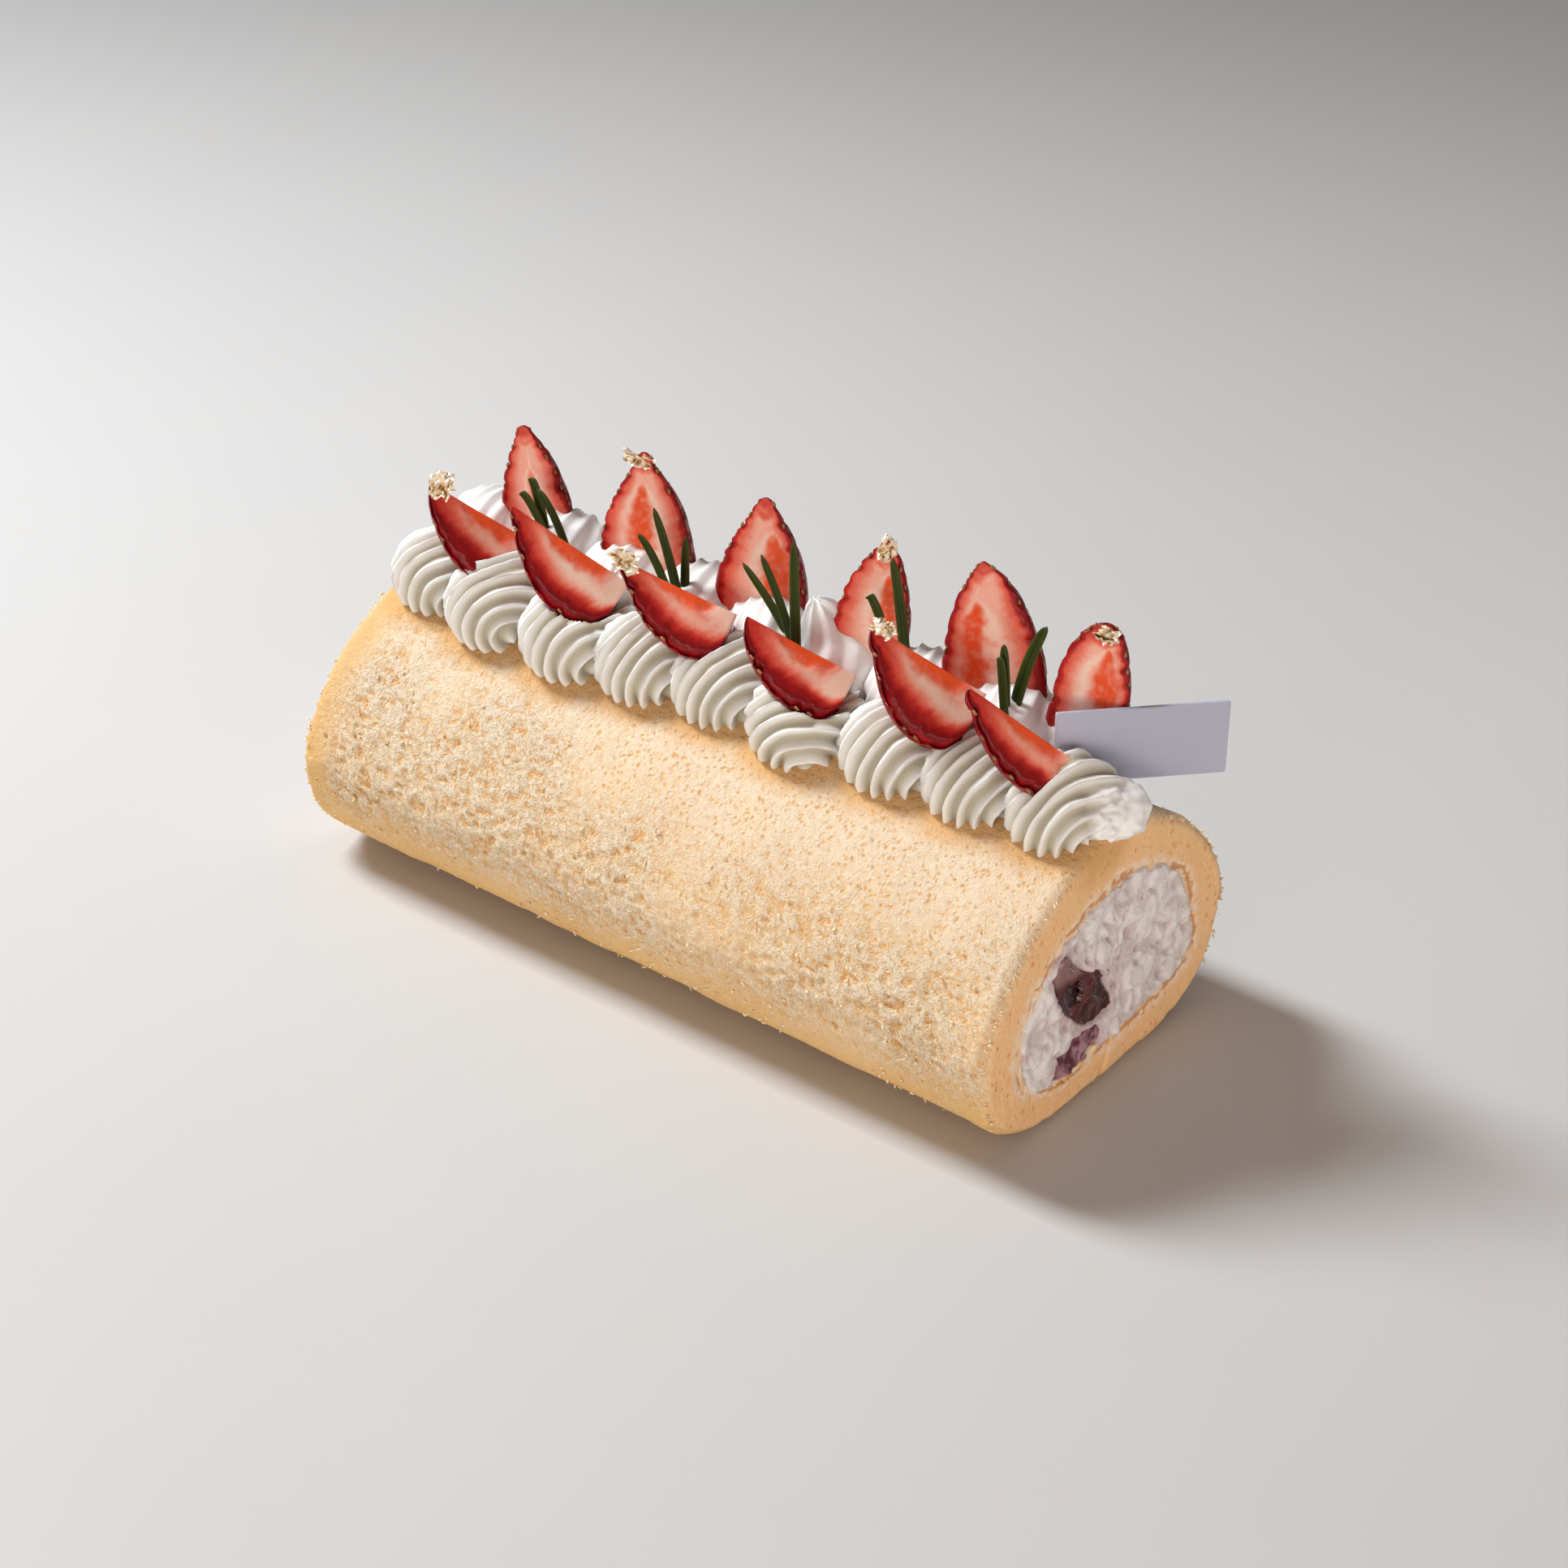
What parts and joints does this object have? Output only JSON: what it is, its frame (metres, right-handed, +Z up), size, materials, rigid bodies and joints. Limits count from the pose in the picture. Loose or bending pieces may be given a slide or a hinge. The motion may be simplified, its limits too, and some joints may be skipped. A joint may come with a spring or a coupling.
{
  "type": "swiss roll cake",
  "caption": "Swiss roll cake with a cream and fruit core, topped with piped cream, cut strawberries, rosemary needles, gold leaf and a small plaque.",
  "frame": {"origin": "middle of the flat underside of the roll, where it rests", "axes": "+X along the roll, +Z up, the front row of toppings on the -Y side"},
  "size_m": [0.1929, 0.085, 0.0984],
  "materials": {
    "sponge": "dry open crumb of pale yellow sponge",
    "filling": "soft cream with small holes",
    "fruit": "wet cut fruit",
    "jam": "glossy jam",
    "cream": "satin piped cream",
    "strawberry": "wet cut strawberry with scraps of gold leaf",
    "needle": "satin dark green leaf",
    "plaque": "smooth satin white"
  },
  "bodies": {
    "root": {"sponge": "sponge", "filling_cream": "filling", "filling_fruit": "fruit", "filling_jam": "jam", "swirl_front_1": "cream", "swirl_front_2": "cream", "swirl_front_3": "cream", "swirl_front_4": "cream", "swirl_front_5": "cream", "swirl_front_6": "cream", "swirl_front_7": "cream", "swirl_front_8": "cream", "swirl_front_9": "cream", "swirl_back_1": "cream", "swirl_back_2": "cream", "swirl_back_3": "cream", "swirl_back_4": "cream", "swirl_back_5": "cream", "swirl_back_6": "cream", "swirl_back_7": "cream", "swirl_back_8": "cream", "swirl_back_9": "cream", "strawberry_front_1": "strawberry", "strawberry_front_2": "strawberry", "strawberry_front_3": "strawberry", "strawberry_front_4": "strawberry", "strawberry_front_5": "strawberry", "strawberry_front_6": "strawberry", "strawberry_back_1": "strawberry", "strawberry_back_2": "strawberry", "strawberry_back_3": "strawberry", "strawberry_back_4": "strawberry", "strawberry_back_5": "strawberry", "strawberry_back_6": "strawberry", "rosemary_1": "needle", "rosemary_2": "needle", "rosemary_3": "needle", "rosemary_4": "needle", "rosemary_5": "needle", "rosemary_6": "needle", "rosemary_7": "needle", "rosemary_8": "needle", "rosemary_9": "needle", "rosemary_10": "needle", "rosemary_11": "needle", "rosemary_12": "needle", "rosemary_13": "needle", "rosemary_14": "needle", "plaque": "plaque"}
  },
  "joints": []
}
